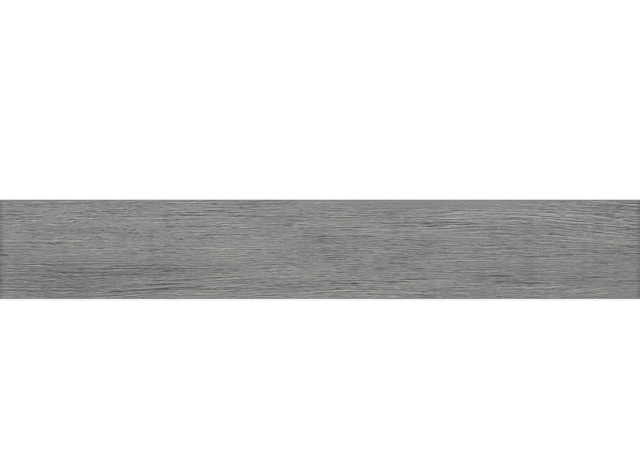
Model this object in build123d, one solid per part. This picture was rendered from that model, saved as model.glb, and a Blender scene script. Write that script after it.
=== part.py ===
from build123d import *
import math
import os

# Ceramic skirting tile, dry pressed and fired as one piece, lying on its keyed back.
# X runs along the tile, +Y is the edge that shows along the top of the skirting, and +Z is the
# printed face. The origin is in the middle of the back. Sizes are in millimetres and degrees.

# Overall sizes, over the widest part of the pressed edges
tile_length = 600.0
tile_height = 93.0
tile_thickness = 9.0

# Edges of the printed face: rounded along the top, nearly square along the floor, cushioned at the ends
upper_edge_radius = 3.0
lower_edge_radius = 1.0
end_cushion_run = 5.0
end_cushion_drop = 2.4

# Edges below the face: an upright land against the next tile, then the draft of the die
joint_land = 5.0
die_draft = 5.0
back_chamfer = 0.5

# Keyed back: shallow panels between ribs, inside a plain margin
back_margin = 7.0
rib_width = 3.0
panel_pitch = 30.0
panel_depth = 0.8
panel_draft = 35.0
panel_corner_radius = 3.0

draft_inset = (tile_thickness - joint_land) * math.tan(math.radians(die_draft))


def pressed_section(width, near_edge, far_edge):
    """Section of the tile in its own plane: rolled face edges, upright lands, a drafted foot and a flat back.

    Each edge is the run and the drop of the arc that leads the face down to its land.
    """
    half_face = width / 2
    half_back = half_face - draft_inset
    land_foot = tile_thickness - joint_land
    near_run, near_drop = near_edge
    far_run, far_drop = far_edge
    near_crest = (near_run - half_face, tile_thickness)
    far_crest = (half_face - far_run, tile_thickness)
    near_arris = (-half_face, tile_thickness - near_drop)
    far_arris = (half_face, tile_thickness - far_drop)
    outline = make_face(
        [
            Line(near_crest, far_crest),
            TangentArc(far_crest, far_arris, tangent=(1, 0)),
            Polyline(
                far_arris,
                (half_face, land_foot),
                (half_back, 0),
                (-half_back, 0),
                (-half_face, land_foot),
                near_arris,
            ),
            TangentArc(near_crest, near_arris, tangent=(-1, 0)),
        ]
    )
    back_corners = outline.vertices().group_by(Axis.Y)[0]
    return chamfer(back_corners, back_chamfer)


def pressed_blank():
    """Body of the tile: the section across it and the section along it, where both are solid."""
    lower_edge = (lower_edge_radius, lower_edge_radius)
    upper_edge = (upper_edge_radius, upper_edge_radius)
    end_edge = (end_cushion_run, end_cushion_drop)
    across = Plane.YZ * pressed_section(tile_height, lower_edge, upper_edge)
    along = Plane.XZ * pressed_section(tile_length, end_edge, end_edge)
    return extrude(across, tile_length / 2, both=True) & extrude(along, tile_height / 2, both=True)


def panel_room(width):
    """Room for panels between the margins, with one rib more, so that it is a whole number of pitches."""
    return width - 2 * (draft_inset + back_margin) + rib_width


def key_panels():
    """Tapered panels sunk into the back, in pairs along the tile so that a rib crosses its middle."""
    column_pairs = max(1, round(panel_room(tile_length) / 2 / panel_pitch))
    rows = max(1, round(panel_room(tile_height) / panel_pitch))
    columns = 2 * column_pairs
    column_pitch = panel_room(tile_length) / columns
    row_pitch = panel_room(tile_height) / rows
    mouth = RectangleRounded(column_pitch - rib_width, row_pitch - rib_width, panel_corner_radius)
    panel = extrude(mouth, panel_depth, taper=panel_draft)
    return [place * panel for place in GridLocations(column_pitch, row_pitch, columns, rows)]


skirting_tile = pressed_blank() - key_panels()

os.makedirs("parts", exist_ok=True)
export_step(skirting_tile, "parts/skirting_tile.step")
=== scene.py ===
"""Wood-effect ceramic skirting tile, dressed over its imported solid, lying face up on a pale floor.

X runs along the tile, +Y is its rounded upper edge and +Z its printed face. Blender works in
metres, and sizes are named in millimetres, as a tile maker would give them.
"""
import logging
import math
from dataclasses import dataclass
from enum import Enum
from typing import ClassVar

import bpy
import numpy as np
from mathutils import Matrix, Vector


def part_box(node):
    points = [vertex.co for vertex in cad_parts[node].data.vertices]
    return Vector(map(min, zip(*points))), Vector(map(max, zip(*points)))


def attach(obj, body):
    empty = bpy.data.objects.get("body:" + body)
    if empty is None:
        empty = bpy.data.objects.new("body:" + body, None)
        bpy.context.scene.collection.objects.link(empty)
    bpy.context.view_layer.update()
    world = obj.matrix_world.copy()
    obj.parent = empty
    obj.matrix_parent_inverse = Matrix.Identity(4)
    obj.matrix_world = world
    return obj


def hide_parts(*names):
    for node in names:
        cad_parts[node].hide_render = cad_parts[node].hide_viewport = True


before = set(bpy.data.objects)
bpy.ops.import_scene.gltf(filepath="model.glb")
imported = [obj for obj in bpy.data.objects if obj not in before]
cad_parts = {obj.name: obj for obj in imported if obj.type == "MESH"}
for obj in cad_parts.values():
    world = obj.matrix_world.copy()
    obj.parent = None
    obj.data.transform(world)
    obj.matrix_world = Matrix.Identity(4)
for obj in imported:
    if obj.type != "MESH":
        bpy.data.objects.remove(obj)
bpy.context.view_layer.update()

LOG = logging.getLogger("skirting_tile")
MM = 0.001
NODE = "skirting_tile"
BODY = "root"

Socket = bpy.types.NodeSocket
Feed = bpy.types.NodeSocket | float | tuple[float, ...]
Point = tuple[float, float]
Colour = tuple[float, float, float, float]


class TreeKind(Enum):
    """Kinds of node tree that can hold the same grain, with their group nodes."""

    SHADER = ("ShaderNodeTree", "ShaderNodeGroup")
    GEOMETRY = ("GeometryNodeTree", "GeometryNodeGroup")

    @property
    def tree(self) -> str:
        """Blender's name for the tree."""
        return self.value[0]

    @property
    def group(self) -> str:
        """Blender's name for a group node in such a tree."""
        return self.value[1]


class SocketKind(Enum):
    """What a socket of a node group carries, by Blender's name for it."""

    NUMBER = "NodeSocketFloat"
    VECTOR = "NodeSocketVector"
    GEOMETRY = "NodeSocketGeometry"


class Zone(Enum):
    """Finishes of the tile, by the number of their material slot."""

    FACE = 0
    EDGE = 1
    BACK = 2


class InkTone(Enum):
    """How far a streak stands out from the print around it, in grey levels."""

    DEEP = -50.0
    DARK = -40.0
    SOFT = -34.0
    FAINT = -30.0
    PALE = 20.0
    LIGHT = 30.0


@dataclass(frozen=True)
class NoiseLayer:
    """One layer of flat noise, by the length and thickness of its cells in millimetres and its strength."""

    length: float
    thickness: float
    strength: float
    seed: float
    detail: float = 0.0


@dataclass(frozen=True)
class GrainLean:
    """A corner where the grain slants: its start, where it is full and its fall there, in millimetres."""

    start: Point
    full: Point
    fall: float


@dataclass(frozen=True)
class Patch:
    """A soft oval on the face, in millimetres, and what it adds in its middle."""

    centre: Point
    reach: Point
    weight: float


@dataclass(frozen=True)
class GrainStreak:
    """One long pore or pale line that stands out, from end to end, in millimetres."""

    start: Point
    end: Point
    thickness: float
    tone: InkTone


def linear(level: float) -> float:
    """Turns a picture's grey level, 0 to 255, into linear light."""
    share = level / 255.0
    return share / 12.92 if share <= 0.04045 else ((share + 0.055) / 1.055) ** 2.4


def paint(red: float, green: float, blue: float) -> Colour:
    """Gives the linear colour of a picture's red, green and blue levels."""
    return (linear(red), linear(green), linear(blue), 1.0)


@dataclass
class NodeBench:
    """Lays nodes into one tree, so that a pattern is written like a formula."""

    tree: bpy.types.NodeTree

    NOISE_ROUGHNESS: ClassVar[float] = 0.6
    SEED_STEP: ClassVar[Point] = (17.3, 9.1)
    COLOUR_MIX_INPUTS: ClassVar[tuple[int, ...]] = (0, 6, 7)
    COLOUR_MIX_RESULT: ClassVar[int] = 2

    @classmethod
    def of_group(
        cls, name: str, kind: TreeKind, inputs: dict[str, SocketKind], outputs: dict[str, SocketKind]
    ) -> "NodeBench":
        """Opens an empty node group with named sockets.

        Args:
            name: The group's name.
            kind: The kind of tree that it is for.
            inputs: What each socket takes in, by its name.
            outputs: What each socket puts out, by its name.

        Returns:
            A bench in the group's tree.
        """
        tree = bpy.data.node_groups.new(name, kind.tree)
        for way, sockets in (("INPUT", inputs), ("OUTPUT", outputs)):
            for title, carried in sockets.items():
                tree.interface.new_socket(title, in_out=way, socket_type=carried.value)
        return cls(tree)

    @classmethod
    def of_material(cls, name: str) -> tuple[bpy.types.Material, "NodeBench", bpy.types.Node]:
        """Makes a new material.

        Args:
            name: The material's name.

        Returns:
            The material, a bench in its tree and its shader.
        """
        made = bpy.data.materials.new(name)
        made.use_nodes = True
        return made, cls(made.node_tree), made.node_tree.nodes["Principled BSDF"]

    @property
    def kind(self) -> TreeKind:
        """The kind of tree that the bench works in."""
        return next(kind for kind in TreeKind if kind.tree == self.tree.bl_idname)

    @property
    def given(self) -> bpy.types.NodeOutputs:
        """What goes into the group, by the names of its sockets."""
        return self.node("NodeGroupInput").outputs

    def give(self, **results: Feed) -> None:
        """Sends results out of the group.

        Args:
            results: What comes out, by the names of the group's sockets.
        """
        leave = self.node("NodeGroupOutput")
        for name, value in results.items():
            self.feed(leave.inputs[name], value)

    def place(self, group: bpy.types.NodeTree, **inputs: Feed) -> bpy.types.NodeOutputs:
        """Places a group in the tree and feeds it.

        Args:
            group: The group's tree.
            inputs: What goes into it, by the names of its sockets.

        Returns:
            What comes out of it, by the names of its sockets.
        """
        made = self.node(self.kind.group, node_tree=group)
        for name, value in inputs.items():
            self.feed(made.inputs[name], value)
        return made.outputs

    def node(self, kind: str, **options: object) -> bpy.types.Node:
        """Adds one node.

        Args:
            kind: Blender's name for the node.
            options: The node's options, by name.

        Returns:
            The new node.
        """
        made = self.tree.nodes.new(kind)
        for name, value in options.items():
            setattr(made, name, value)
        return made

    def feed(self, socket: Socket, value: Feed) -> None:
        """Links a socket to the one that feeds it, or sets its plain value.

        Args:
            socket: The socket that takes the value in.
            value: Another socket, or a number or a vector.
        """
        if isinstance(value, bpy.types.NodeSocket):
            self.tree.links.new(value, socket)
        else:
            socket.default_value = value

    def fill(self, made: bpy.types.Node, values: tuple[Feed, ...]) -> bpy.types.Node:
        """Feeds a node's first sockets in order.

        Args:
            made: The node.
            values: What goes into its sockets.

        Returns:
            The same node.
        """
        for socket, value in zip(made.inputs, values):
            self.feed(socket, value)
        return made

    def maths(self, operation: str, *values: Feed) -> Socket:
        """Puts one sum on numbers and gives its result."""
        return self.fill(self.node("ShaderNodeMath", operation=operation), values).outputs[0]

    def vectors(self, operation: str, *values: Feed) -> Socket:
        """Puts one sum on vectors and gives the vector."""
        return self.fill(self.node("ShaderNodeVectorMath", operation=operation), values).outputs[0]

    def dot(self, first: Feed, second: Feed) -> Socket:
        """Gives the scalar product of two vectors."""
        made = self.node("ShaderNodeVectorMath", operation="DOT_PRODUCT")
        return self.fill(made, (first, second)).outputs["Value"]

    def total(self, *values: Feed) -> Socket:
        """Adds up several numbers.

        Args:
            values: The numbers, of which one at least is a socket.

        Returns:
            Their sum.
        """
        result = values[0]
        for value in values[1:]:
            result = self.maths("ADD", result, value)
        return result

    def split(self, vector: Feed) -> tuple[Socket, Socket, Socket]:
        """Gives a vector's X, Y and Z."""
        return tuple(self.fill(self.node("ShaderNodeSeparateXYZ"), (vector,)).outputs)

    def join(self, x: Feed, y: Feed, z: Feed = 0.0) -> Socket:
        """Makes a vector from X, Y and Z."""
        return self.fill(self.node("ShaderNodeCombineXYZ"), (x, y, z)).outputs[0]

    def smooth(self, value: Feed, low: float, high: float, start: float = 0.0, end: float = 1.0) -> Socket:
        """Eases a number from start to end while it goes from low to high.

        Args:
            value: The number.
            low: Where the change begins.
            high: Where the change ends.
            start: What it gives at low and below.
            end: What it gives at high and above.

        Returns:
            The eased number.
        """
        made = self.node("ShaderNodeMapRange", interpolation_type="SMOOTHSTEP")
        return self.fill(made, (value, low, high, start, end)).outputs[0]

    def noise(self, point: Feed, layer: NoiseLayer) -> Socket:
        """Draws one layer of flat noise.

        Args:
            point: Place on the face in millimetres.
            layer: The noise's cells, its strength and the seed that sets it apart from the others.

        Returns:
            Noise about zero, mostly within 0.4 times its strength.
        """
        scaled = self.vectors("MULTIPLY", point, (1.0 / layer.length, 1.0 / layer.thickness, 0.0))
        step_x, step_y = self.SEED_STEP
        moved = self.vectors("ADD", scaled, (layer.seed * step_x, layer.seed * step_y, 0.0))
        made = self.node("ShaderNodeTexNoise", noise_dimensions="2D")
        self.feed(made.inputs["Vector"], moved)
        self.feed(made.inputs["Scale"], 1.0)
        self.feed(made.inputs["Detail"], layer.detail)
        self.feed(made.inputs["Roughness"], self.NOISE_ROUGHNESS)
        about_zero = self.maths("SUBTRACT", made.outputs[0], 0.5)
        return self.maths("MULTIPLY", about_zero, layer.strength)

    def grit(self, point: Feed, cell: float, detail: float) -> Socket:
        """Draws noise in space.

        Args:
            point: Place on the tile in millimetres.
            cell: Size of a cell in millimetres.
            detail: How many finer layers it has.

        Returns:
            Noise between nought and one.
        """
        made = self.node("ShaderNodeTexNoise", noise_dimensions="3D")
        self.feed(made.inputs["Vector"], point)
        self.feed(made.inputs["Scale"], 1.0 / cell)
        self.feed(made.inputs["Detail"], detail)
        return made.outputs[0]

    def blend(self, share: Feed, first: Feed, second: Feed, way: str = "MIX") -> Socket:
        """Blends a second colour into a first one.

        Args:
            share: How much of the second there is.
            first: The colour below.
            second: The colour above.
            way: Blender's name for the blend.

        Returns:
            The blended colour.
        """
        made = self.node("ShaderNodeMix", data_type="RGBA", blend_type=way)
        for place, value in zip(self.COLOUR_MIX_INPUTS, (share, first, second)):
            self.feed(made.inputs[place], value)
        return made.outputs[self.COLOUR_MIX_RESULT]

    def bump(self, height: Feed, depth: float) -> Socket:
        """Roughens a surface.

        Args:
            height: Height of the roughness, from nought to one.
            depth: What a height of one is worth, in millimetres.

        Returns:
            The roughened normal.
        """
        made = self.node("ShaderNodeBump")
        self.feed(made.inputs["Height"], height)
        self.feed(made.inputs["Distance"], depth * MM)
        return made.outputs[0]

    def shown_as(self, shown: Socket, real: Socket) -> Socket:
        """Lets the camera see one shader, while light meets another.

        Args:
            shown: The shader that the picture shows.
            real: The shader that lights the tile.

        Returns:
            Both in one.
        """
        choice = self.node("ShaderNodeMixShader")
        is_picture = self.node("ShaderNodeLightPath").outputs["Is Camera Ray"]
        return self.fill(choice, (is_picture, real, shown)).outputs[0]


@dataclass(frozen=True)
class WoodGrain:
    """The wood pattern that the press sinks into the face and the printer colours, in one register."""

    mean_level: float = 130.0
    darkest_level: float = 60.0
    lightest_level: float = 210.0
    line_pitch: float = 2.0
    kink_least: float = 0.28
    pore_range: Point = (0.14, 0.26)
    pore_levels: float = 23.0
    streak_taper: float = 4.0
    streak_groove_levels: float = 40.0
    warm_range: Point = (14.0, 4.0)

    # Noise that bends the grain and lets its lines drift
    WAVE: ClassVar[NoiseLayer] = NoiseLayer(140.0, 42.0, 2.5, seed=11.0, detail=1.0)
    WOBBLE: ClassVar[NoiseLayer] = NoiseLayer(14.0, 5.0, 0.6, seed=12.0)
    DRIFT: ClassVar[NoiseLayer] = NoiseLayer(90.0, 8.0, 1.1, seed=13.0)
    KINK: ClassVar[NoiseLayer] = NoiseLayer(6.0, 2.2, 1.6, seed=14.0)
    # Noise that opens the pores, spots and clouds the ink, and ravels the border of the warm areas
    PORE: ClassVar[NoiseLayer] = NoiseLayer(16.0, 1.1, 1.0, seed=31.0, detail=1.0)
    INK: ClassVar[NoiseLayer] = NoiseLayer(1.7, 1.1, 26.0, seed=32.0)
    CLOUD: ClassVar[NoiseLayer] = NoiseLayer(120.0, 12.0, 14.0, seed=41.0)
    CAST: ClassVar[NoiseLayer] = NoiseLayer(40.0, 16.0, 14.0, seed=51.0)

    # How strongly the lines of even pitch show, and the freer fibres over them, in grey levels
    LINES: ClassVar[tuple[NoiseLayer, ...]] = (
        NoiseLayer(110, 3.3, 102, 61),
        NoiseLayer(45, 3.3, 82, 62),
        NoiseLayer(20, 3, 66, 63),
        NoiseLayer(9, 2.8, 60, 64),
        NoiseLayer(4.5, 2.6, 58, 65),
    )
    FIBRES: ClassVar[tuple[NoiseLayer, ...]] = (
        NoiseLayer(260, 5, 5, 1),
        NoiseLayer(110, 1.4, 12, 2),
        NoiseLayer(50, 0.9, 18, 4),
        NoiseLayer(24, 0.9, 17, 5),
        NoiseLayer(11, 0.9, 19, 6),
        NoiseLayer(5, 0.9, 25, 7),
        NoiseLayer(16, 0.5, 28, 8),
        NoiseLayer(7, 0.3, 26, 9),
    )
    # Where the grain slants, and where it is restless
    LEANS: ClassVar[tuple[GrainLean, ...]] = (
        GrainLean((-240, -6), (30, -34), -9),
        GrainLean((185, -10), (335, 14), 9),
        GrainLean((190, 20), (305, 40), -5),
        GrainLean((230, -30), (310, -46), -8),
    )
    KINKS: ClassVar[tuple[Patch, ...]] = (
        Patch((-190, 18), (170, 26), 0.95),
        Patch((10, -12), (110, 22), 0.45),
    )
    # Where the lines are weaker or stronger
    TEMPER: ClassVar[tuple[Patch, ...]] = (
        Patch((-110, 14), (120, 24), -0.20),
        Patch((-235, 4), (85, 34), -0.28),
        Patch((95, 44), (150, 11), -0.60),
        Patch((125, 12), (30, 9), -0.45),
        Patch((95, 26), (75, 11), 0.35),
        Patch((185, 27), (32, 8), 0.30),
        Patch((285, 18), (45, 26), 0.35),
        Patch((25, -27), (110, 16), 0.40),
        Patch((180, -27), (60, 12), 0.25),
    )
    # Where the warm lower half is pushed back or reaches further up, in millimetres
    WARMTH: ClassVar[tuple[Patch, ...]] = (
        Patch((-290, 0), (28, 24), 13),
        Patch((-222, 14), (22, 24), -14),
        Patch((-172, -8), (38, 34), 26),
        Patch((42, 30), (95, 30), -30),
        Patch((292, 24), (34, 26), -24),
    )
    # Darker and lighter areas, in grey levels
    PATCHES: ClassVar[tuple[Patch, ...]] = (
        Patch((-245, -27), (85, 22), -11),
        Patch((-160, -20), (50, 11), -10),
        Patch((-105, -20), (40, 8), -7),
        Patch((-165, -42), (40, 6), -7),
        Patch((-65, 44), (65, 6), -7),
        Patch((0, 11), (24, 9), -5),
        Patch((15, -4), (16, 9), -6),
        Patch((80, -9), (32, 9), -8),
        Patch((97, 1), (12, 11), -6),
        Patch((100, 26), (28, 7), -6),
        Patch((165, 18), (16, 6), -5),
        Patch((170, -24), (55, 10), -9),
        Patch((275, -5), (60, 13), -9),
        Patch((265, -27), (55, 13), -6),
        Patch((290, 38), (50, 12), -8),
        Patch((-230, 33), (60, 16), 8),
        Patch((-125, 24), (95, 14), 7),
        Patch((-75, -2), (58, 16), 8),
        Patch((-290, 14), (30, 14), 6),
        Patch((175, 32), (100, 9), 7),
        Patch((135, 8), (40, 15), 5),
        Patch((60, -43), (55, 8), 8),
        Patch((-15, -24), (60, 7), 6),
    )
    # The longest pores and pale lines
    STREAKS: ClassVar[tuple[GrainStreak, ...]] = (
        GrainStreak((-202, -40), (-142, -36.5), 1.6, InkTone.DEEP),
        GrainStreak((-156, -37), (-104, -35), 1.5, InkTone.DEEP),
        GrainStreak((-188, -35), (-128, -32), 1.4, InkTone.DARK),
        GrainStreak((-195, -38), (-135, -34.5), 1.6, InkTone.PALE),
        GrainStreak((-128, -29.5), (-109, -29), 1.3, InkTone.SOFT),
        GrainStreak((-128, -31), (-109, -30.5), 1.3, InkTone.PALE),
        GrainStreak((-210, -23.5), (-134, -24), 1.2, InkTone.FAINT),
        GrainStreak((-184, -18), (-122, -18), 1.3, InkTone.DARK),
        GrainStreak((-200, -15.5), (-137, -15.5), 1.2, InkTone.SOFT),
        GrainStreak((-300, -5.5), (-291, -5.5), 2.2, InkTone.SOFT),
        GrainStreak((-249, 6.5), (-236, 6.5), 1.2, InkTone.SOFT),
        GrainStreak((-296, 35), (-275, 35), 1.3, InkTone.SOFT),
        GrainStreak((-276, 40.5), (-262, 40.5), 1.4, InkTone.SOFT),
        GrainStreak((-228, 35.5), (-186, 35), 1.3, InkTone.SOFT),
        GrainStreak((-157, 32), (-100, 31.5), 1.2, InkTone.SOFT),
        GrainStreak((-112, 35.5), (-80, 35.5), 1.3, InkTone.DARK),
        GrainStreak((-82, 38), (-62, 38), 1.2, InkTone.FAINT),
        GrainStreak((-85, 22.5), (-61, 22.5), 1.4, InkTone.PALE),
        GrainStreak((-33, 24.5), (-26, 24.5), 1.5, InkTone.DARK),
        GrainStreak((-32, 27), (-14, 27.5), 1.3, InkTone.SOFT),
        GrainStreak((15, 18.5), (31, 18.5), 1.3, InkTone.SOFT),
        GrainStreak((25, 12), (56, 12), 1.2, InkTone.SOFT),
        GrainStreak((64, 22), (85, 22), 1.3, InkTone.SOFT),
        GrainStreak((68, 16.5), (93, 16.5), 1.2, InkTone.SOFT),
        GrainStreak((93, 23.5), (106, 23.5), 1.3, InkTone.SOFT),
        GrainStreak((106, 21), (120, 21), 1.2, InkTone.SOFT),
        GrainStreak((114, 25), (132, 25), 1.3, InkTone.SOFT),
        GrainStreak((110, 29), (134, 29), 1.5, InkTone.LIGHT),
        GrainStreak((173, 29), (200, 29), 1.3, InkTone.SOFT),
        GrainStreak((212, 14.5), (230, 13), 1.2, InkTone.FAINT),
        GrainStreak((212, 13), (262, 8), 1.4, InkTone.LIGHT),
        GrainStreak((262, 8), (290, 5), 1.3, InkTone.LIGHT),
        GrainStreak((278, 19), (299, 18.5), 1.3, InkTone.SOFT),
        GrainStreak((182, -6), (214, -7), 1.3, InkTone.DARK),
        GrainStreak((219, -5.5), (238, -5.5), 1.3, InkTone.SOFT),
        GrainStreak((238, -1), (262, -1), 1.3, InkTone.SOFT),
        GrainStreak((260, -12.5), (272, -13.5), 1.4, InkTone.FAINT),
        GrainStreak((156, -25), (180, -25), 1.5, InkTone.DARK),
        GrainStreak((158, -30), (218, -32), 1.3, InkTone.DARK),
        GrainStreak((246, -42.5), (278, -40), 1.4, InkTone.PALE),
        GrainStreak((124, -41.5), (142, -41.5), 1.3, InkTone.PALE),
        GrainStreak((7, -8), (22, -7.5), 1.2, InkTone.FAINT),
        GrainStreak((62, -8), (84, -8), 1.2, InkTone.SOFT),
        GrainStreak((62, -13), (83, -13), 1.2, InkTone.SOFT),
        GrainStreak((50, -18.5), (64, -18), 1.5, InkTone.DARK),
        GrainStreak((82, -18.5), (98, -18), 1.4, InkTone.DARK),
        GrainStreak((77, -27.5), (103, -28.5), 1.4, InkTone.DARK),
        GrainStreak((8, -32), (40, -31.5), 1.4, InkTone.DARK),
        GrainStreak((46, -31), (72, -30.5), 1.2, InkTone.SOFT),
        GrainStreak((-31, -35.5), (0, -34.5), 1.3, InkTone.SOFT),
        GrainStreak((-85, -29.5), (-67, -28.5), 1.2, InkTone.SOFT),
        GrainStreak((-84, -31), (-66, -31), 1.2, InkTone.FAINT),
        GrainStreak((-55, -18), (-47, -18), 1.3, InkTone.SOFT),
    )


class GrainDrawing:
    """The wood grain drawn into one node group: the press has one, and the printer another."""

    def __init__(self, grain: WoodGrain, kind: TreeKind) -> None:
        """Opens the group and finds the place on the face.

        Args:
            grain: The pattern.
            kind: The kind of tree that it is drawn in.
        """
        outputs = dict.fromkeys(("Shade", "Groove", "Warmth"), SocketKind.NUMBER)
        self.grain = grain
        self.bench = NodeBench.of_group("wood_grain", kind, {"Position": SocketKind.VECTOR}, outputs)
        self.patch_group = self._patch_group(kind)
        self.streak_group = self._streak_group(kind)
        self.flat = self.bench.vectors("MULTIPLY", self.bench.given["Position"], (1.0 / MM, 1.0 / MM, 0.0))
        self.along, self.across, _ = self.bench.split(self.flat)

    def draw(self) -> bpy.types.NodeTree:
        """Draws the print's shade and warmth and the depth of the grooves.

        Returns:
            The group's tree, with a place in metres going in.
        """
        bench = self.bench
        grain = self.grain
        grain_line = self._grain_line()
        point = bench.join(self.along, grain_line)
        temper = self._patches(grain.TEMPER, 1.0)
        fibres = bench.maths("MULTIPLY", self._fibres(point, grain_line), temper)
        pores = bench.smooth(bench.noise(point, grain.PORE), *grain.pore_range)
        pores = bench.maths("MULTIPLY", pores, temper)
        dark_pores = bench.maths("MULTIPLY", pores, -grain.pore_levels)
        ink = bench.noise(self.flat, grain.INK)
        clouds = bench.noise(self.flat, grain.CLOUD)
        tones = self._patches(grain.PATCHES, grain.mean_level)
        streaks = self._streaks()
        level = bench.total(tones, fibres, dark_pores, ink, clouds, streaks)
        span = grain.lightest_level - grain.darkest_level
        shade = bench.maths("DIVIDE", bench.maths("SUBTRACT", level, grain.darkest_level), span)
        sunk = bench.maths("MULTIPLY_ADD", streaks, -1.0 / grain.streak_groove_levels, pores)
        bench.give(Shade=shade, Groove=bench.smooth(sunk, 0.0, 1.0), Warmth=self._warmth())
        return bench.tree

    def _grain_line(self) -> Socket:
        """Bends the place across the tile, so that it stays the same along a line of the grain.

        Returns:
            The bent place in millimetres.
        """
        bench = self.bench
        grain = self.grain
        wave = bench.noise(self.flat, grain.WAVE)
        wobble = bench.noise(self.flat, grain.WOBBLE)
        unrest = self._patches(grain.KINKS, grain.kink_least)
        kink = bench.maths("MULTIPLY", bench.noise(self.flat, grain.KINK), unrest)
        leans = (self._lean(lean) for lean in grain.LEANS)
        return bench.total(self.across, wave, wobble, kink, *leans)

    def _lean(self, lean: GrainLean) -> Socket:
        """Gives how far a lean shifts the grain line.

        Args:
            lean: The corner that leans.

        Returns:
            The shift in millimetres.
        """
        (start_x, start_y), (full_x, full_y) = lean.start, lean.full
        fallen = self.bench.smooth(self.along, start_x, full_x, 0.0, lean.fall)
        return self.bench.maths("MULTIPLY", fallen, self.bench.smooth(self.across, start_y, full_y))

    def _fibres(self, point: Socket, grain_line: Socket) -> Socket:
        """Draws fine lines that come and go at an even pitch, and freer fibres over them.

        Args:
            point: Place along the tile and across its grain, in millimetres.
            grain_line: Place across the grain alone, in millimetres.

        Returns:
            Both together, in grey levels about zero.
        """
        bench = self.bench
        grain = self.grain
        drift = bench.noise(point, grain.DRIFT)
        turns = bench.maths("MULTIPLY_ADD", grain_line, 1.0 / grain.line_pitch, drift)
        ruled = bench.maths("SINE", bench.maths("MULTIPLY", turns, math.tau))
        lines = bench.total(*(bench.noise(point, layer) for layer in grain.LINES))
        fibres = bench.total(*(bench.noise(point, layer) for layer in grain.FIBRES))
        return bench.maths("MULTIPLY_ADD", ruled, lines, fibres)

    def _warmth(self) -> Socket:
        """Tells the warm areas of the print from the neutral ones.

        Returns:
            One where the print is warm, and nought where it is neutral.
        """
        border = self._patches(self.grain.WARMTH, self.across)
        border = self.bench.total(self.bench.noise(self.flat, self.grain.CAST), border)
        return self.bench.smooth(border, *self.grain.warm_range)

    def _patches(self, patches: tuple[Patch, ...], start: Feed) -> Socket:
        """Adds up soft ovals.

        Args:
            patches: The ovals.
            start: The value where no oval lies.

        Returns:
            The sum at that place.
        """
        total = start
        for patch in patches:
            oval = {"Centre": (*patch.centre, 0.0), "Reach": (*patch.reach, 1.0), "Weight": patch.weight}
            total = self.bench.place(self.patch_group, Point=self.flat, Sum=total, **oval)["Sum"]
        return total

    def _streaks(self) -> Socket:
        """Adds up all the streaks.

        Returns:
            The sum of the streaks at that place, in grey levels.
        """
        total: Feed = 0.0
        for streak in self.grain.STREAKS:
            run = np.subtract(streak.end, streak.start)
            length = float(np.hypot(*run))
            half = streak.thickness / 2.0
            line = {
                "Start": (*streak.start, 0.0),
                "Along": (*(run / length**2), 0.0),
                "Across": (-run[1] / length / half, run[0] / length / half, 0.0),
                "Levels": streak.tone.value,
            }
            total = self.bench.place(self.streak_group, Point=self.flat, Sum=total, **line)["Sum"]
        return total

    @staticmethod
    def _patch_group(kind: TreeKind) -> bpy.types.NodeTree:
        """Makes the group that adds one soft oval to a running sum.

        Args:
            kind: The kind of tree that it is for.

        Returns:
            The group's tree.
        """
        inputs = dict.fromkeys(("Point", "Centre", "Reach"), SocketKind.VECTOR)
        inputs |= dict.fromkeys(("Weight", "Sum"), SocketKind.NUMBER)
        bench = NodeBench.of_group("soft_patch", kind, inputs, {"Sum": SocketKind.NUMBER})
        given = bench.given
        offset = bench.vectors("SUBTRACT", given["Point"], given["Centre"])
        scaled = bench.vectors("DIVIDE", offset, given["Reach"])
        window = bench.smooth(bench.dot(scaled, scaled), 1.0, 0.0)
        bench.give(Sum=bench.maths("MULTIPLY_ADD", window, given["Weight"], given["Sum"]))
        return bench.tree

    def _streak_group(self, kind: TreeKind) -> bpy.types.NodeTree:
        """Makes the group that adds one streak, tapered at its ends, to a running sum.

        Args:
            kind: The kind of tree that it is for.

        Returns:
            The group's tree.
        """
        inputs = dict.fromkeys(("Point", "Start", "Along", "Across"), SocketKind.VECTOR)
        inputs |= dict.fromkeys(("Levels", "Sum"), SocketKind.NUMBER)
        bench = NodeBench.of_group("grain_streak", kind, inputs, {"Sum": SocketKind.NUMBER})
        given = bench.given
        offset = bench.vectors("SUBTRACT", given["Point"], given["Start"])
        from_middle = bench.maths("MULTIPLY_ADD", bench.dot(offset, given["Along"]), 2.0, -1.0)
        across = bench.dot(offset, given["Across"])
        taper = bench.maths("POWER", bench.maths("ABSOLUTE", from_middle), self.grain.streak_taper)
        body = bench.maths("MAXIMUM", bench.maths("SUBTRACT", 1.0, taper), 0.0)
        bell = bench.maths("SUBTRACT", 1.0, bench.maths("MULTIPLY", across, across))
        inside = bench.maths("MULTIPLY", body, bench.maths("MAXIMUM", bell, 0.0))
        bench.give(Sum=bench.maths("MULTIPLY_ADD", inside, given["Levels"], given["Sum"]))
        return bench.tree


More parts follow.
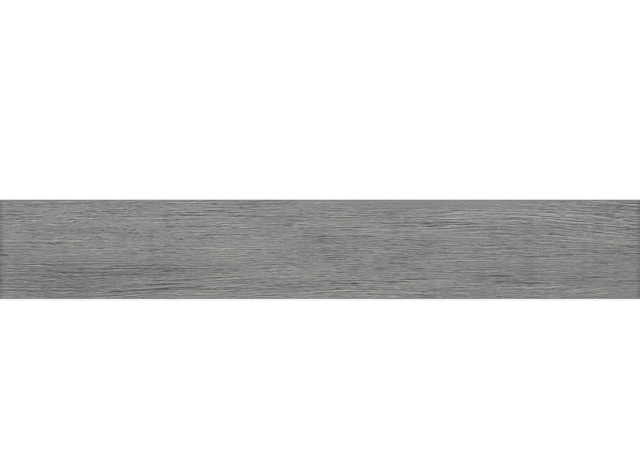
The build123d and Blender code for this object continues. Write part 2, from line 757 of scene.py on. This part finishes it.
@dataclass(frozen=True)
class FiredSurface:
    """What pressing and firing leave on clay and glaze alike: mottling, iron specks and a pebbled skin.

    Each is noise, by the size of its cells in millimetres and how many finer layers it has.
    """

    mottle: Point = (7.0, 3.0)
    mottle_range: Point = (0.3, 0.7)
    waver: Point = (11.0, 2.0)
    specks: Point = (0.8, 0.0)
    speck_range: Point = (0.70, 0.76)
    pebbles: Point = (1.1, 1.0)

    def group(self) -> bpy.types.NodeTree:
        """Makes the group that gives each of these from nought to one.

        Returns:
            The group's tree, with a place in metres going in.
        """
        outputs = dict.fromkeys(("Mottle", "Waver", "Specks", "Pebbles"), SocketKind.NUMBER)
        inputs = {"Position": SocketKind.VECTOR}
        bench = NodeBench.of_group("fired_surface", TreeKind.SHADER, inputs, outputs)
        point = bench.vectors("MULTIPLY", bench.given["Position"], (1.0 / MM, 1.0 / MM, 1.0 / MM))
        bench.give(
            Mottle=bench.smooth(bench.grit(point, *self.mottle), *self.mottle_range),
            Waver=bench.grit(point, *self.waver),
            Specks=bench.smooth(bench.grit(point, *self.specks), *self.speck_range),
            Pebbles=bench.grit(point, *self.pebbles),
        )
        return bench.tree


@dataclass(frozen=True)
class PrintedGlaze:
    """Matt glaze with the wood print, on the face and round its arrises."""

    grain: WoodGrain
    field: bpy.types.NodeTree
    surface: bpy.types.NodeTree
    face_height: float
    edge_y: float
    warm_tint: Colour = (0.995, 1.004, 0.958, 1.0)
    ramp_steps: int = 9
    ink_bend: float = 0.0036
    smooth_roughness: float = 0.50
    groove_roughness: float = 0.68
    pebble_depth: float = 0.012
    roll_band: Point = (3.0, 2.0)

    def material(self) -> bpy.types.Material:
        """Makes the glaze.

        Returns:
            The material.
        """
        made, bench, shader = NodeBench.of_material("printed_glaze")
        place = bench.node("ShaderNodeTexCoord").outputs["Object"]
        grain = bench.place(self.field, Position=self._unrolled(bench, place))
        surface = bench.place(self.surface, Position=place)
        print_colour = self._ramp(bench, grain["Shade"])
        tinted = bench.blend(grain["Warmth"], print_colour, self.warm_tint, "MULTIPLY")
        bench.feed(shader.inputs["Base Color"], tinted)
        rough = bench.smooth(grain["Groove"], 0.0, 1.0, self.smooth_roughness, self.groove_roughness)
        bench.feed(shader.inputs["Roughness"], rough)
        bench.feed(shader.inputs["Normal"], bench.bump(surface["Pebbles"], self.pebble_depth))
        return made

    def _unrolled(self, bench: NodeBench, place: Socket) -> Socket:
        """Lays the long edges out flat, so that the print runs over them without a smear.

        Args:
            bench: Where the nodes go.
            place: Place on the tile in metres.

        Returns:
            The place in the print, in metres.
        """
        x, y, z = bench.split(place)
        inner, outer = (self.edge_y - reach for reach in self.roll_band)
        upper = bench.smooth(y, inner * MM, outer * MM, 0.0, 1.0)
        lower = bench.smooth(y, -inner * MM, -outer * MM, 0.0, -1.0)
        drop = bench.maths("SUBTRACT", self.face_height * MM, z)
        over = bench.maths("MULTIPLY", bench.maths("ADD", upper, lower), drop)
        return bench.join(x, bench.maths("ADD", y, over))

    def _ramp(self, bench: NodeBench, shade: Socket) -> Socket:
        """Colours the shade from the darkest to the lightest print.

        Args:
            bench: Where the nodes go.
            shade: Nought for the darkest print and one for the lightest.

        Returns:
            The neutral colour.
        """
        made = bench.node("ShaderNodeValToRGB")
        bench.feed(made.inputs[0], shade)
        darkest, lightest = self.grain.darkest_level, self.grain.lightest_level
        stops = made.color_ramp.elements
        while len(stops) < self.ramp_steps:
            stops.new(0.5)
        for number in range(self.ramp_steps):
            share = number / (self.ramp_steps - 1)
            level = darkest + share * (lightest - darkest)
            inked = level - self.ink_bend * (level - self.grain.mean_level) ** 2
            stops[number].position = share
            stops[number].color = paint(inked, inked, inked)
        return made.outputs[0]


@dataclass(frozen=True)
class Coat:
    """A coating on the clay that begins and covers fully at wavering heights, in millimetres."""

    colour: Colour
    start: float
    full: float
    waver: float


@dataclass(frozen=True)
class FiredClay:
    """Pressed and fired body under the glaze, on the sides and the back."""

    name: str
    surface: bpy.types.NodeTree
    coats: tuple[Coat, ...]
    light: Colour = paint(203, 197, 187)
    dark: Colour = paint(184, 177, 166)
    speck: Colour = paint(120, 106, 92)
    roughness: Point = (0.92, 0.78)
    pebble_depth: float = 0.08

    def material(self) -> bpy.types.Material:
        """Makes the clay with its coats.

        Returns:
            The material.
        """
        made, bench, shader = NodeBench.of_material(self.name)
        place = bench.node("ShaderNodeTexCoord").outputs["Object"]
        surface = bench.place(self.surface, Position=place)
        colour = bench.blend(surface["Mottle"], self.dark, self.light)
        colour = bench.blend(surface["Specks"], colour, self.speck)
        height = bench.maths("MULTIPLY", bench.split(place)[2], 1.0 / MM)
        swing = bench.maths("SUBTRACT", surface["Waver"], 0.5)
        for coat in self.coats:
            line = bench.maths("MULTIPLY_ADD", swing, coat.waver, height)
            colour = bench.blend(bench.smooth(line, coat.start, coat.full), colour, coat.colour)
        bench.feed(shader.inputs["Base Color"], colour)
        bench.feed(shader.inputs["Roughness"], bench.smooth(surface["Mottle"], 0.0, 1.0, *self.roughness))
        bench.feed(shader.inputs["Normal"], bench.bump(surface["Pebbles"], self.pebble_depth))
        return made


@dataclass(frozen=True)
class Ring:
    """One level rectangle of the tile's skin, from the face's border down to the back, in millimetres."""

    z: float
    half_x: float
    low_y: float
    high_y: float
    developed: float

    @property
    def half_y(self) -> float:
        """Half the rectangle's height."""
        return (self.high_y - self.low_y) / 2.0

    @property
    def middle_y(self) -> float:
        """Where the rectangle's middle lies across the tile."""
        return (self.high_y + self.low_y) / 2.0


@dataclass
class SkirtingTile:
    """The whole tile: a pressed plank with a rounded upper edge and a keyed back, in millimetres."""

    length: float
    height: float
    thickness: float
    grain: WoodGrain
    upper_edge: Point = (3.0, 3.0)
    lower_edge: Point = (1.0, 1.0)
    end_edge: Point = (5.0, 2.4)
    joint_land: float = 5.0
    die_draft: float = 5.0
    back_chamfer: float = 0.5
    back_margin: float = 7.0
    rib_width: float = 3.0
    panel_pitch: float = 30.0
    panel_depth: float = 0.8
    panel_draft: float = 35.0
    panel_corner: float = 3.0
    corner_steps: int = 3
    face_columns: int = 280
    face_rows: int = 270
    groove_depth: float = 0.07
    groove_fade: float = 5.0
    wall_reach: float = 2.0
    crease_angle: float = 32.0

    ARRIS_DROPS: ClassVar[tuple[float, ...]] = (0.05, 0.15, 0.3, 0.5, 0.75, 1.0, 1.4, 1.9, 2.4, 3.0)
    HEIGHT_TOLERANCE: ClassVar[float] = 0.01
    BACK_SLOPE: ClassVar[float] = -0.99
    BAKE_MAP: ClassVar[str] = "OFBake"
    BAKE_MARGIN: ClassVar[float] = 0.006
    BACK_SHARE: ClassVar[float] = 0.22
    ENGOBE: ClassVar[Coat] = Coat(paint(206, 203, 197), 4.9, 5.1, 2.0)
    GLAZE_RUN: ClassVar[Coat] = Coat(paint(124, 124, 122), 5.3, 5.5, 2.0)
    KILN_WASH: ClassVar[Coat] = Coat(paint(208, 205, 199), 0.3, -0.1, 0.6)

    def build(self) -> bpy.types.Object:
        """Models the tile from its face down to its back and sinks the grain.

        Returns:
            The finished tile, without its finishes.
        """
        rings = self.rings()
        tile = self._face(rings[0])
        self._skin(rings)
        self._key_back(tile)
        self._zones(tile)
        self._bake_map(tile, rings)
        self._shade(tile)
        self._sink_grain(tile, rings[0])
        return tile

    def rings(self) -> list[Ring]:
        """Works out the rectangles that the skin runs through, from the face down.

        Returns:
            The rings in order.
        """
        slope = math.tan(math.radians(self.die_draft))
        foot_drop = self.thickness - self.back_chamfer * math.cos(math.radians(self.die_draft))
        levels = [(drop, 0.0) for drop in (0.0, *self.ARRIS_DROPS, self.joint_land)]
        levels.append((foot_drop, (foot_drop - self.joint_land) * slope))
        levels.append((self.thickness, (self.thickness - self.joint_land) * slope + self.back_chamfer))
        found: list[Ring] = []
        for drop, inset in levels:
            half_x = self.length / 2.0 - inset - self._arris_inset(self.end_edge, drop)
            low_y = -self.height / 2.0 + inset + self._arris_inset(self.lower_edge, drop)
            high_y = self.height / 2.0 - inset - self._arris_inset(self.upper_edge, drop)
            z = self.thickness - drop
            developed = 0.0
            if found:
                last = found[-1]
                developed = last.developed + math.hypot(high_y - last.high_y, z - last.z)
            found.append(Ring(z, half_x, low_y, high_y, developed))
        return found

    @staticmethod
    def _arris_inset(edge: Point, drop: float) -> float:
        """Gives how far a rolled edge lies inside the wall at a drop below the face.

        Args:
            edge: Run and drop of the arc that leads the face down to its land.
            drop: How far below the face.

        Returns:
            The inset, nought from the land down.
        """
        run, full_drop = edge
        if drop >= full_drop:
            return 0.0
        radius = (run**2 + full_drop**2) / (2.0 * full_drop)
        return run - math.sqrt(drop * (2.0 * radius - drop))

    def _face(self, border: Ring) -> bpy.types.Object:
        """Starts the tile with a fine grid for its face, drawn out from a square two millimetres wide.

        Args:
            border: The face's border.

        Returns:
            The new object, in edit mode with its border selected.
        """
        bpy.ops.object.select_all(action="DESELECT")
        bpy.ops.mesh.primitive_grid_add(
            x_subdivisions=self.face_columns, y_subdivisions=self.face_rows, size=2.0 * MM
        )
        tile = bpy.context.object
        tile.name = "pressed_tile"
        bpy.ops.object.mode_set(mode="EDIT")
        bpy.ops.mesh.select_all(action="SELECT")
        bpy.ops.transform.resize(value=(border.half_x, border.half_y, 1.0), center_override=(0.0, 0.0, 0.0))
        bpy.ops.transform.translate(value=(0.0, border.middle_y * MM, border.z * MM))
        bpy.ops.mesh.select_mode(type="EDGE")
        bpy.ops.mesh.region_to_loop()
        return tile

    @staticmethod
    def _skin(rings: list[Ring]) -> None:
        """Draws the selected border down through the rings, to the edge of the back.

        Args:
            rings: The rectangles of the skin, from the face down.
        """
        for above, below in zip(rings, rings[1:]):
            bpy.ops.mesh.extrude_edges_move()
            bpy.ops.transform.resize(
                value=(below.half_x / above.half_x, below.half_y / above.half_y, 1.0),
                center_override=(0.0, above.middle_y * MM, above.z * MM),
            )
            shift = ((below.middle_y - above.middle_y) * MM, (below.z - above.z) * MM)
            bpy.ops.transform.translate(value=(0.0, *shift))
        bpy.ops.object.mode_set(mode="OBJECT")

    def _room(self, width: float) -> float:
        """Gives the room for panels between the margins, with one rib more."""
        inset = (self.thickness - self.joint_land) * math.tan(math.radians(self.die_draft))
        return width - 2.0 * (inset + self.back_margin) + self.rib_width

    def _key_back(self, tile: bpy.types.Object) -> None:
        """Repeats one key panel over the back and fills the ribs between.

        Args:
            tile: The tile with its back still open.
        """
        columns = 2 * max(1, round(self._room(self.length) / 2.0 / self.panel_pitch))
        rows = max(1, round(self._room(self.height) / self.panel_pitch))
        counts = (columns, rows)
        pitches = (self._room(self.length) / columns, self._room(self.height) / rows)
        panel = self._key_panel(pitches, counts)
        for axis, (count, pitch) in enumerate(zip(counts, pitches)):
            repeat = panel.modifiers.new("repeat", "ARRAY")
            repeat.count = count
            repeat.use_relative_offset = False
            repeat.use_constant_offset = True
            repeat.constant_offset_displace = np.eye(3)[axis] * pitch * MM
            bpy.ops.object.modifier_apply(modifier=repeat.name)
        tile.select_set(True)
        bpy.context.view_layer.objects.active = tile
        bpy.ops.object.join()
        self._close_back()

    def _key_panel(self, pitches: Point, counts: tuple[int, int]) -> bpy.types.Object:
        """Models the key panel in the first row and column, with rounded corners and drafted sides.

        Args:
            pitches: Distance from panel to panel along and across the tile.
            counts: How many panels there are along and across it.

        Returns:
            The open panel, selected.
        """
        bpy.ops.object.select_all(action="DESELECT")
        bpy.ops.mesh.primitive_plane_add(size=MM, location=(0.0, 0.0, 0.0))
        panel = bpy.context.object
        bpy.ops.object.mode_set(mode="EDIT")
        bpy.ops.mesh.select_all(action="SELECT")
        mouth = (*(pitch - self.rib_width for pitch in pitches), 1.0)
        bpy.ops.transform.resize(value=mouth, center_override=(0.0, 0.0, 0.0))
        bpy.ops.mesh.flip_normals()
        bpy.ops.mesh.bevel(offset=self.panel_corner * MM, segments=self.corner_steps, affect="VERTICES")
        taper = self.panel_depth * math.tan(math.radians(self.panel_draft))
        bpy.ops.mesh.select_all(action="SELECT")
        bpy.ops.mesh.inset(thickness=taper * MM, depth=-self.panel_depth * MM)
        bpy.ops.mesh.select_all(action="SELECT")
        first = (-(count - 1) * pitch / 2.0 * MM for count, pitch in zip(counts, pitches))
        bpy.ops.transform.translate(value=(*first, 0.0))
        bpy.ops.object.mode_set(mode="OBJECT")
        return panel

    @staticmethod
    def _close_back() -> None:
        """Fills the back between the skin's lower edge and the mouths of the panels."""
        bpy.ops.object.mode_set(mode="EDIT")
        bpy.ops.mesh.select_mode(type="EDGE")
        bpy.ops.mesh.select_all(action="DESELECT")
        others = dict.fromkeys(("use_wire", "use_multi_face", "use_non_contiguous", "use_verts"), False)
        bpy.ops.mesh.select_non_manifold(use_boundary=True, **others)
        bpy.ops.mesh.fill(use_beauty=True)
        bpy.ops.mesh.select_all(action="SELECT")
        bpy.ops.mesh.normals_make_consistent(inside=False)
        bpy.ops.object.mode_set(mode="OBJECT")

    def _zones(self, tile: bpy.types.Object) -> None:
        """Tells the glazed skin, the bare sides and the back apart by their height and slope.

        Args:
            tile: The closed tile.
        """
        glaze_foot = (self.thickness - self.ARRIS_DROPS[-1]) * MM
        back_top = (self.panel_depth + self.HEIGHT_TOLERANCE) * MM
        half_x = (self.length / 2.0 - self.wall_reach) * MM
        half_y = (self.height / 2.0 - self.wall_reach) * MM
        for face in tile.data.polygons:
            middle = face.center
            inner = abs(middle.x) < half_x and abs(middle.y) < half_y
            if middle.z > glaze_foot:
                face.material_index = Zone.FACE.value
            elif face.normal.z < self.BACK_SLOPE or (inner and middle.z < back_top):
                face.material_index = Zone.BACK.value
            else:
                face.material_index = Zone.EDGE.value

    def _bake_map(self, tile: bpy.types.Object, rings: list[Ring]) -> None:
        """Unrolls the skin into one island and lays the back beside it.

        Args:
            tile: The closed tile.
            rings: The rectangles of its skin.
        """
        mesh = tile.data
        while mesh.uv_layers:
            mesh.uv_layers.remove(mesh.uv_layers[0])
        unrolled = mesh.uv_layers.new(name=self.BAKE_MAP)
        places = np.empty(len(mesh.vertices) * 3)
        mesh.vertices.foreach_get("co", places)
        places = places.reshape(-1, 3) / MM
        corners = np.empty(len(mesh.loops), dtype=np.int64)
        mesh.loops.foreach_get("vertex_index", corners)
        zones = np.empty(len(mesh.polygons), dtype=np.int64)
        mesh.polygons.foreach_get("material_index", zones)
        sides = np.empty(len(mesh.polygons), dtype=np.int64)
        mesh.polygons.foreach_get("loop_total", sides)
        on_back = np.repeat(zones == Zone.BACK.value, sides)

        levels = np.array([ring.z for ring in rings])
        nearest = np.abs(places[:, 2:] - levels).argmin(axis=1)
        table = np.array([(ring.half_x, ring.half_y, ring.middle_y, ring.developed) for ring in rings])
        half_x, half_y, middle_y, developed = table[nearest].T
        reach_x = rings[0].half_x + rings[-1].developed
        reach_y = rings[0].half_y + rings[-1].developed
        skin_u = places[:, 0] / half_x * (rings[0].half_x + developed) / reach_x
        skin_v = (places[:, 1] - middle_y) / half_y * (rings[0].half_y + developed) / reach_y
        back_u = places[:, 0] / (self.length / 2.0)
        back_v = places[:, 1] / (self.height / 2.0)
        u = np.where(on_back, back_u[corners], skin_u[corners])
        v = np.where(on_back, back_v[corners], skin_v[corners])
        u = 0.5 + u * (0.5 - self.BAKE_MARGIN)
        skin_low = self.BACK_SHARE + self.BAKE_MARGIN
        skin_high = 1.0 - self.BAKE_MARGIN
        back_high = self.BACK_SHARE - self.BAKE_MARGIN
        skin_v = skin_low + (v + 1.0) / 2.0 * (skin_high - skin_low)
        back_v = self.BAKE_MARGIN + (v + 1.0) / 2.0 * (back_high - self.BAKE_MARGIN)
        v = np.where(on_back, back_v, skin_v)
        unrolled.data.foreach_set("uv", np.column_stack((u, v)).ravel())

    def _shade(self, tile: bpy.types.Object) -> None:
        """Shades the skin smooth, with the edges of the back and its panels left crisp.

        Args:
            tile: The closed tile.
        """
        bpy.ops.object.select_all(action="DESELECT")
        tile.select_set(True)
        bpy.context.view_layer.objects.active = tile
        bpy.ops.object.shade_smooth_by_angle(angle=math.radians(self.crease_angle))

    def _sink_grain(self, tile: bpy.types.Object, border: Ring) -> None:
        """Presses the grain's grooves into the face.

        Args:
            tile: The tile with a flat face.
            border: The face's border.
        """
        press = tile.modifiers.new("pressed_grain", "NODES")
        press.node_group = self._press_tree(border)
        bpy.ops.object.modifier_apply(modifier=press.name)

    def _press_tree(self, border: Ring) -> bpy.types.NodeTree:
        """Makes the press that lowers the face by the depth of the grain.

        Args:
            border: The face's border.

        Returns:
            The tree for the modifier.
        """
        mesh = {"Geometry": SocketKind.GEOMETRY}
        bench = NodeBench.of_group("pressed_grain", TreeKind.GEOMETRY, mesh, mesh)
        place = bench.node("GeometryNodeInputPosition").outputs[0]
        groove = bench.place(GrainDrawing(self.grain, TreeKind.GEOMETRY).draw(), Position=place)["Groove"]
        x, y, z = bench.split(place)
        ends = bench.maths("SUBTRACT", border.half_x * MM, bench.maths("ABSOLUTE", x))
        from_middle = bench.maths("ABSOLUTE", bench.maths("SUBTRACT", y, border.middle_y * MM))
        sides = bench.maths("SUBTRACT", border.half_y * MM, from_middle)
        rim = bench.smooth(bench.maths("MINIMUM", ends, sides), 0.0, self.groove_fade * MM)
        depth = bench.maths("MULTIPLY", bench.maths("MULTIPLY", groove, rim), -self.groove_depth * MM)
        on_face = bench.maths("GREATER_THAN", z, (border.z - self.HEIGHT_TOLERANCE) * MM)
        press = bench.node("GeometryNodeSetPosition")
        bench.feed(press.inputs["Geometry"], bench.given["Geometry"])
        bench.feed(press.inputs["Selection"], on_face)
        bench.feed(press.inputs["Offset"], bench.join(0.0, 0.0, depth))
        bench.give(Geometry=press.outputs["Geometry"])
        return bench.tree

    def dress(self, tile: bpy.types.Object) -> None:
        """Gives the tile its finishes.

        Args:
            tile: The finished mesh.
        """
        surface = FiredSurface().group()
        field = GrainDrawing(self.grain, TreeKind.SHADER).draw()
        glaze = PrintedGlaze(self.grain, field, surface, self.thickness, self.height / 2.0)
        edge = FiredClay("pressed_edge", surface, (self.ENGOBE, self.GLAZE_RUN))
        back = FiredClay("keyed_back", surface, (self.KILN_WASH,))
        for finish in (glaze, edge, back):
            tile.data.materials.append(finish.material())


@dataclass(frozen=True)
class Softbox:
    """A wide soft light that leans over the tile, by its place across and above it, in metres and watts."""

    name: str
    place: Point
    size: Point
    power: float

    def hang(self) -> None:
        """Hangs the light and turns it to the tile."""
        bpy.ops.object.light_add(type="AREA", location=(0.0, *self.place))
        light = bpy.context.object
        light.name = self.name
        light.data.shape = "RECTANGLE"
        light.data.size, light.data.size_y = self.size
        light.data.energy = self.power
        light.rotation_euler = (-math.atan2(*self.place), 0.0, 0.0)


@dataclass(frozen=True)
class Studio:
    """Pale floor, soft light and the camera that looks straight down on the face."""

    width: float
    face_height: float
    cropped: float = 1.0
    aim_y: float = 21.75
    lens: float = 100.0
    sensor: float = 36.0
    floor_side: float = 12.0
    floor_grey: float = 0.45
    floor_glow: Point = (0.88, 1.0)
    glow_reach: Point = (0.4, 1.2)
    floor_shade: float = 0.20
    floor_roughness: float = 0.9
    sky: float = 0.35

    KEY: ClassVar[Softbox] = Softbox("soft_key", (1.0, 2.15), (2.0, 1.2), 39.0)
    FILL: ClassVar[Softbox] = Softbox("front_fill", (-1.9, 0.7), (2.4, 0.8), 8.0)

    def build(self) -> None:
        """Sets up the floor, the light and the camera."""
        self._floor()
        self._lights()
        self._camera()
        bpy.context.scene.view_settings.view_transform = "Standard"

    def _floor(self) -> None:
        """Lays a pale floor under the tile, which looks lit from below and throws little light back."""
        bpy.ops.object.select_all(action="DESELECT")
        bpy.ops.mesh.primitive_plane_add(size=self.floor_side, location=(0.0, 0.0, 0.0))
        floor = bpy.context.object
        floor.name = "pale_floor"
        made, bench, board = NodeBench.of_material("pale_floor")
        shown = bench.node("ShaderNodeBsdfPrincipled")
        for shader, grey in ((board, self.floor_grey), (shown, self.floor_shade)):
            shader.inputs["Base Color"].default_value = (grey, grey, grey, 1.0)
            shader.inputs["Roughness"].default_value = self.floor_roughness
            shader.inputs["Specular IOR Level"].default_value = 0.0
        place = bench.node("ShaderNodeTexCoord").outputs["Object"]
        near, far = (reach**2 for reach in self.glow_reach)
        glow = bench.smooth(bench.dot(place, place), near, far, *self.floor_glow)
        bench.feed(shown.inputs["Emission Color"], glow)
        shown.inputs["Emission Strength"].default_value = 1.0
        both = bench.shown_as(shown.outputs[0], board.outputs[0])
        bench.feed(made.node_tree.nodes["Material Output"].inputs["Surface"], both)
        floor.data.materials.append(made)

    def _lights(self) -> None:
        """Hangs the key above the tile, a weak fill in front of it and an even sky around."""
        self.KEY.hang()
        self.FILL.hang()
        world = bpy.data.worlds.new("even_sky")
        world.use_nodes = True
        bench = NodeBench(world.node_tree)
        sky = world.node_tree.nodes["Background"]
        sky.inputs["Strength"].default_value = self.sky
        shown = bench.node("ShaderNodeBackground")
        shown.inputs["Strength"].default_value = 1.0
        for background in (sky, shown):
            background.inputs["Color"].default_value = (1.0, 1.0, 1.0, 1.0)
        both = bench.shown_as(shown.outputs[0], sky.outputs[0])
        bench.feed(world.node_tree.nodes["World Output"].inputs["Surface"], both)
        bpy.context.scene.world = world

    def _camera(self) -> None:
        """Sets the camera so that the tile's ends lie just outside the picture."""
        distance = (self.width - 2.0 * self.cropped) * self.lens / self.sensor
        bpy.ops.object.camera_add(location=(0.0, self.aim_y * MM, (self.face_height + distance) * MM))
        camera = bpy.context.object
        camera.name = "plan_camera"
        camera.rotation_euler = (0.0, 0.0, 0.0)
        camera.data.lens = self.lens
        camera.data.sensor_width = self.sensor
        bpy.context.scene.camera = camera


def main() -> None:
    """Builds the tile and its studio and says what was made."""
    logging.basicConfig(level=logging.INFO, format="%(name)s: %(message)s")
    low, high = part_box(NODE)
    length, height, thickness = ((top - bottom) / MM for bottom, top in zip(low, high))
    LOG.info("frame: %d nodes", len(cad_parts))
    maker = SkirtingTile(length, height, thickness, WoodGrain())
    tile = maker.build()
    maker.dress(tile)
    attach(tile, BODY)
    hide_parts(NODE)
    LOG.info("%s: %d faces", tile.name, len(tile.data.polygons))
    Studio(length, thickness).build()
    LOG.info("studio: floor, light and camera")


if __name__ == "__main__":
    main()
